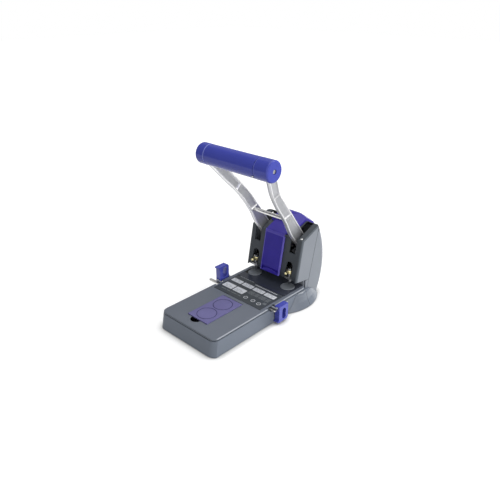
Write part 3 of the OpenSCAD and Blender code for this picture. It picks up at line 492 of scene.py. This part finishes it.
def arm(name, side, node):
    """A cast arm: an oblong with two panels sunk into it, carried along the arm's path. A row is a
    place along the arm. Its columns run over the outer face from front to rear, round the rear
    edge, back over the inner face and round the front edge. The panels fade out at the ribs."""
    along = np.linspace(8, ARM_LENGTH + 6, 240)[:, None]
    belly = ARM_BELLY * (1 - smooth(along, 60, 95))
    front = ARM_FRONT - belly + 1.8 * smooth(along, 70, 115) - 2.3 * smooth(along, 142, 185)
    rear = ARM_REAR - 2.4 * smooth(along, 122, 160)
    width = rear - front
    # Distances from the front edge over a face, close together at the rims
    edge = np.concatenate([np.linspace(0, ARM_CORNER, 5), np.linspace(RIM, RIM + PANEL_SLOPE, 5)])
    middle = np.linspace(0.3, 0.7, 5)[None] * width
    over = np.concatenate([edge + 0 * width, middle, (width - edge)[:, ::-1]], axis=1)
    near = np.minimum(over, width - over)
    lean = np.clip(ARM_CORNER - near, 0, None)
    corner = ARM_CORNER - np.sqrt(ARM_CORNER**2 - lean**2)
    panel_to = smooth(near, RIM, RIM + PANEL_SLOPE)
    panel_to = panel_to * smooth(along, 24, 30) * (1 - smooth(along, 206, 212))
    sunk = [panel_to, panel_to]
    for face, ribs in enumerate((OUTER_RIBS, INNER_RIBS)):
        for rib, slant in ribs:
            off = np.abs(along + slant * (over - width / 2) - rib)
            sunk[face] = sunk[face] * smooth(off, RIB_HALF, RIB_HALF + PANEL_SLOPE)
    outer, inner = (ARM_THICK / 2 - corner - PANEL_DEPTH * part for part in sunk)
    # A shallow hollow along the front and rear edges
    lip = np.linspace(1, -1, 7)[1:-1][None] * (ARM_THICK / 2 - ARM_CORNER)
    hollow = 0.7 * (1 - (lip / (ARM_THICK / 2)) ** 2) + 0 * width
    lip = lip + 0 * width
    outward = np.concatenate([outer, lip, -inner[:, ::-1], -lip], axis=1)
    across = np.concatenate(
        [front + over, rear - hollow, (front + over)[:, ::-1], front + hollow], axis=1
    )
    edges = 0.4 + 0 * lip
    # Shine also carries the painted highlight of the rims and edges into the finish.
    shine = np.concatenate([1 - sunk[0], edges, 1 - sunk[1][:, ::-1], edges], axis=1)
    x, slope = arm_path(along)
    turn = np.arctan(slope)
    x = side * (x + outward * np.cos(turn))
    place = along - outward * np.sin(turn)
    points = np.stack(
        [
            x,
            PIVOT[0] + place * UP_ARM[0] + across * ACROSS_ARM[0],
            PIVOT[1] + place * UP_ARM[1] + across * ACROSS_ARM[1],
        ],
        axis=-1,
    )
    if side > 0:
        points, shine = points[:, ::-1], shine[:, ::-1]
    made = skin(name, points * MM, False, FINISHES["cast_arm"], "lever", shine)
    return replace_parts(made, node)


def arm_eye(name, side):
    """The flat eye round the pivot with its lug to the drive pin. Its outline takes, for each
    direction, the further of two circles; its bore is a circle, and four rings join them."""
    turns = np.linspace(0, 2 * math.pi, 96, endpoint=False)
    way = np.stack([np.cos(turns), np.sin(turns)], axis=-1)
    lug = np.array((-19.37, -3.42))
    eye_r, lug_r, bore_r, half = 13.0, 8.0, 6.05, ARM_THICK / 2 + 0.4
    outline = np.where((way @ lug + lug_r > eye_r)[:, None], lug + lug_r * way, eye_r * way)
    rings = np.stack([outline, outline, bore_r * way, bore_r * way], axis=1)
    sides = np.array((-half, half, half, -half)) * side + ARM_X * side
    points = np.concatenate(
        [np.broadcast_to(sides[None, :, None], (len(turns), 4, 1)), PIVOT + rings], axis=-1
    )
    if side < 0:
        points = points[:, ::-1]
    dull = np.zeros(points.shape[:2])
    made = skin(name, points * MM, True, FINISHES["cast_arm"], "lever", dull)
    made.data.polygons.foreach_set("use_smooth", np.zeros(len(made.data.polygons), bool))
    return made


for side, word in ((-1, "left"), (1, "right")):
    arm(f"cast_arm_{word}", side, f"lever_arm_{word}")
    arm_eye(f"cast_eye_{word}", side)


def dome(name, centre, up, radius, rise, finish_of, body):
    """A round head: rings r from 0 to the radius at the height rise * (1 - (r / radius) ^ 2) along
    up, then straight down by the rise to close it."""
    up = np.array(up) / np.linalg.norm(up)
    side = np.cross(up, (1.0, 0.0, 0.0))
    ahead = np.cross(side, up)
    turns = np.linspace(0, 2 * math.pi, 32, endpoint=False)[None, :, None]
    out = np.linspace(0.08, 1, 8)
    reach = np.concatenate([out, [1, 0.08]])[:, None, None] * radius
    height = np.concatenate([rise * (1 - out**2), [-rise, -rise]])[:, None, None]
    points = centre + reach * (np.cos(turns) * ahead + np.sin(turns) * side) + height * up
    return skin(name, points[::-1] * MM, False, finish_of, body)


GRIP_R = 17.5
SCREW_TURN = math.radians(-38)
DOWN = np.array((0.0, -math.cos(SCREW_TURN), math.sin(SCREW_TURN)))
SCREW_AT = np.array((46.5, *GRIP)) + (GRIP_R - 0.2) * DOWN
# The dark charcoal disc round the screw is painted shade that stands for the recess it sits in.
dome("grip_socket_shade", SCREW_AT, DOWN, 2.6, 0.4, FINISHES["charcoal"], "lever")
SCREW_TOP = SCREW_AT + 0.3 * DOWN
dome("grip_screw", SCREW_TOP, DOWN, 1.5, 0.5, FINISHES["bright_steel"], "lever")


# Print on the dark field


def plates(name, rows, height, round_to, finish_of, body):
    """One mesh of thin printed plates. A row is (low x, high x, low y, high y, z) in millimetres.
    Each plate's edge is a superellipse, |x / a| ^ n + |y / b| ^ n = 1 with n = round_to, carried
    from the middle of its top out to the edge and down to its underside."""
    rows = np.array(rows, float) * MM
    turns = np.linspace(0, 2 * math.pi, 48, endpoint=False) + math.pi / 48
    power = 2 / round_to
    ring = np.stack(
        [
            np.sign(np.cos(turns)) * np.abs(np.cos(turns)) ** power,
            np.sign(np.sin(turns)) * np.abs(np.sin(turns)) ** power,
        ],
        axis=-1,
    )
    middle = np.stack([rows[:, 0] + rows[:, 1], rows[:, 2] + rows[:, 3]], axis=-1) / 2
    half = np.stack([rows[:, 1] - rows[:, 0], rows[:, 3] - rows[:, 2]], axis=-1) / 2
    flat = middle[:, None, :] + half[:, None, :] * ring[None]
    count, steps = flat.shape[:2]
    top = np.concatenate([flat, np.repeat(rows[:, 4:5], steps, 1)[..., None]], axis=-1)
    low = top - [0, 0, height * MM]
    points = np.concatenate([top, low], axis=1).reshape(-1, 3)
    first = np.arange(count) * 2 * steps
    i = np.arange(steps)
    j = (i + 1) % steps
    sides = first[:, None, None] + np.stack([i, i + steps, j + steps, j], axis=-1)[None]
    caps = np.concatenate([first[:, None] + i, first[:, None] + steps + i[::-1]], axis=0)
    mesh = bpy.data.meshes.new(name)
    mesh.from_pydata(points.tolist(), [], sides.reshape(-1, 4).tolist() + caps.tolist())
    mesh.update()
    return shown(name, mesh, finish_of, body)


ink = moulded_abs("screen ink, pale grey", "#D6D9DE", "#C4C7CD", 1.0, 0.55, 0.05, 0.1)
faint_ink = moulded_abs("screen ink, mid grey", "#8B9094", "#7D8286", 1.0, 0.55, 0.05, 0.1)
field_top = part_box("label_plate")[1].z / MM
PATCHES = [
    (-52.5, -28.5, -52, -41.5),
    (-25.8, -1.8, -52, -41.5),
    (0.9, 24.9, -52, -41.5),
    (27.5, 51.5, -52, -41.5),
    (-52, -28, -76, -61),
    (-25.5, -1.5, -76, -61),
]
# Short bars on the patches, dashes along the rear of the field, and plain lines, rings and dots
BARS = ((3, 9, 2.4), (14, 5, 2.4), (5, 6, 5.4), (13.5, 8, 5.4), (3, 4, 8), (9, 7, 8))
PATCH_BARS = [
    (low + from_left, low + from_left + long, front + up, front + up + 0.9)
    for low, _, front, _ in PATCHES
    for from_left, long, up in BARS
]
DASHES = [(x, x + 2.2, -36, -34) for x in np.arange(-6.5, 46, 3.3)]
LINES = [
    (start, start + long, -31, -29.6)
    for start, long in ((-49, 7), (-41, 4), (-36, 9), (-26, 5), (-20, 6))
]
FINE_LINES = [
    (start, start + long, y, y + 0.8)
    for y in (-57.5, -60.2, -62.9, -65.6)
    for start, long in ((2, 13), (16.5, 9), (27, 14), (42.5, 8))
] + [(start, start + long, -83, -82) for start, long in ((-46, 12), (-32, 8), (-22, 14), (-6, 7))]
RINGS = [(10.6, -78.9), (27.4, -78.6), (41.6, -79.5)]
BORES = [(x - 3, x + 3, y - 3, y + 3) for x, y in RINGS]
COLUMNS = [(x, x + 1, -75.5, -70) for x in (46.5, 48.8, 51.1)]
for name, marks, lift, round_to, finish_of in (
    ("label_patches", PATCHES, 0.05, 14, ink),
    ("patch_bars", PATCH_BARS, 0.1, 14, faint_ink),
    ("label_dashes", DASHES, 0.05, 14, ink),
    ("label_lines", LINES + FINE_LINES + COLUMNS, 0.05, 14, faint_ink),
    ("label_rings", [(x - 4, x + 4, y - 4, y + 4) for x, y in RINGS], 0.05, 2, ink),
    ("ring_bores", BORES, 0.1, 2, FINISHES["label_dark"]),
    ("ring_dots", [(x - 1, x + 1, y - 1, y + 1) for x, y in RINGS], 0.15, 2, faint_ink),
):
    rows = [(*mark, field_top + lift) for mark in marks]
    plates(name, rows, lift + 0.05, round_to, finish_of, "base")


# Studio


def panel(name, place, aim, size, power, mirrored=True):
    """A square soft box that faces a point, and shows in glossy surfaces or not."""
    lamp = bpy.data.lights.new(name, "AREA")
    lamp.size = size
    lamp.energy = power
    made = bpy.data.objects.new(name, lamp)
    made.location = place
    made.rotation_euler = (Vector(aim) - Vector(place)).to_track_quat("-Z", "Y").to_euler()
    made.visible_glossy = mirrored
    bpy.context.scene.collection.objects.link(made)
    return made


def card(name, corners, level):
    """A flat card beside the set that only glossy surfaces see, as grey as its level."""
    mesh = bpy.data.meshes.new(name)
    mesh.from_pydata(corners, [], [(0, 1, 2, 3)])
    made = bpy.data.objects.new(name, mesh)
    bpy.context.scene.collection.objects.link(made)
    tone = bpy.data.materials.new(name)
    tone.use_nodes = True
    glow = add(tone.node_tree, "ShaderNodeEmission", {"Color": (level, level, level, 1)})
    tone.node_tree.links.new(
        glow.outputs[0], tone.node_tree.nodes["Material Output"].inputs["Surface"]
    )
    mesh.materials.append(tone)
    made.visible_camera = False
    made.visible_diffuse = False
    made.visible_transmission = False
    made.visible_shadow = False
    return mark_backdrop(made)


AIM = (0, -0.05, 0.1)
panel("key", (1.7, -0.35, 0.6), AIM, 1.2, 16.5, False)
panel("top", (-0.1, 0.25, 1.7), AIM, 1.6, 13)
panel("rim", (0.9, 1.3, 1.5), AIM, 0.7, 9)
panel("fill", (-1.0, -1.3, 0.35), AIM, 0.9, 2.4, False)
panel("low", (0.7, 1.8, 0.35), AIM, 0.6, 25, False)
# Upright cards: two corners on the floor, the lower and upper edge, and the level
for name, (x0, y0), (x1, y1), low, high, level in (
    ("black card", (-1.2, -2), (-1.2, 0.3), 0.05, 2.6, 0.02),
    ("left card", (-1.2, 0.3), (-1.2, 2.2), 0.05, 2.6, 0.35),
    ("back card", (-1.2, 2.2), (2.2, 2.2), 0, 2.2, 0.2),
    ("grey card", (2.2, 2.2), (2.2, 0.4), 0, 1.0, 0.14),
):
    card(name, [(x0, y0, low), (x1, y1, low), (x1, y1, high), (x0, y0, high)], level)
card(
    "grey table",
    [(0.12, 0.24, 0.001), (1.4, 0.24, 0.001), (1.4, 1.4, 0.001), (0.12, 1.4, 0.001)],
    0.62,
)


def shows(tree):
    """1 on the rays that show what they meet: from the camera, off gloss and through glass."""
    ray = add(tree, "ShaderNodeLightPath")
    most = ray.outputs["Is Camera Ray"]
    for kind in ("Is Glossy Ray", "Is Transmission Ray"):
        most = add(
            tree, "ShaderNodeMath", {0: most, 1: ray.outputs[kind]}, operation="MAXIMUM"
        ).outputs[0]
    return most


world = bpy.data.worlds.new("white studio")
bpy.context.scene.world = world
world.use_nodes = True
sky = world.node_tree
level = add(sky, "ShaderNodeMapRange", {"Value": shows(sky), "To Min": 0.4, "To Max": 1.0})
white = add(sky, "ShaderNodeBackground", {"Color": (1, 1, 1, 1), "Strength": level.outputs[0]})
sky.links.new(white.outputs[0], sky.nodes["World Output"].inputs["Surface"])

# The floor is pale paper: it takes the shadow, and the camera, metal and glass see it brought up to
# white, apart from a soft dark edge where something stands on it: a painted contact shadow, from
# ambient occlusion.
CONTACT = 14 * MM
paper = bpy.data.materials.new("white paper floor")
paper.use_nodes = True
tree = paper.node_tree
matt = add(tree, "ShaderNodeBsdfDiffuse", {"Color": linear("#BFBFBF")})
near = add(tree, "ShaderNodeAmbientOcclusion", {"Distance": CONTACT}, samples=16)
shade = add(
    tree,
    "ShaderNodeMapRange",
    {"Value": near.outputs["AO"], "From Min": 0.45, "To Min": 0.0, "To Max": 0.62},
)
place = add(tree, "ShaderNodeTexCoord").outputs["Object"]
away = add(tree, "ShaderNodeVectorMath", {0: place}, operation="LENGTH")
far = add(
    tree,
    "ShaderNodeMapRange",
    {"Value": away.outputs["Value"], "From Min": 0.5, "From Max": 1.6, "To Max": 0.45},
)
shade = add(tree, "ShaderNodeMath", {0: shade.outputs[0], 1: far.outputs[0]}, operation="ADD")
lift = add(tree, "ShaderNodeMath", {0: shows(tree), 1: shade.outputs[0]}, operation="MULTIPLY")
glow = add(tree, "ShaderNodeEmission", {"Color": (1, 1, 1, 1), "Strength": lift.outputs[0]})
both = add(tree, "ShaderNodeAddShader", {0: matt.outputs[0], 1: glow.outputs[0]})
tree.links.new(both.outputs[0], tree.nodes["Material Output"].inputs["Surface"])
mesh = bpy.data.meshes.new("floor")
REACH = 6.0
mesh.from_pydata(
    [(-REACH, -REACH, 0), (REACH, -REACH, 0), (REACH, REACH, 0), (-REACH, REACH, 0)],
    [],
    [(0, 1, 2, 3)],
)
mesh.materials.append(paper)
floor = bpy.data.objects.new("floor", mesh)
bpy.context.scene.collection.objects.link(floor)

# The camera stands right of the front and above it, at the photograph's viewing angle
AZIMUTH = math.radians(43.17)
ELEVATION = math.radians(26.01)
# The focal length and the picture's width, in pixels
FOCAL = 527.0
PICTURE = 500
back = Vector(
    (
        math.sin(AZIMUTH) * math.cos(ELEVATION),
        -math.cos(AZIMUTH) * math.cos(ELEVATION),
        math.sin(ELEVATION),
    )
)
lens = bpy.data.cameras.new("camera")
lens.sensor_width = 36
lens.lens = lens.sensor_width * FOCAL / PICTURE
camera = bpy.data.objects.new("camera", lens)
camera.location = (0.5571, -0.6504, 0.5103)
camera.rotation_euler = (-back).to_track_quat("-Z", "Y").to_euler()
bpy.context.scene.collection.objects.link(camera)
bpy.context.scene.camera = camera
bpy.context.scene.view_settings.view_transform = "Standard"
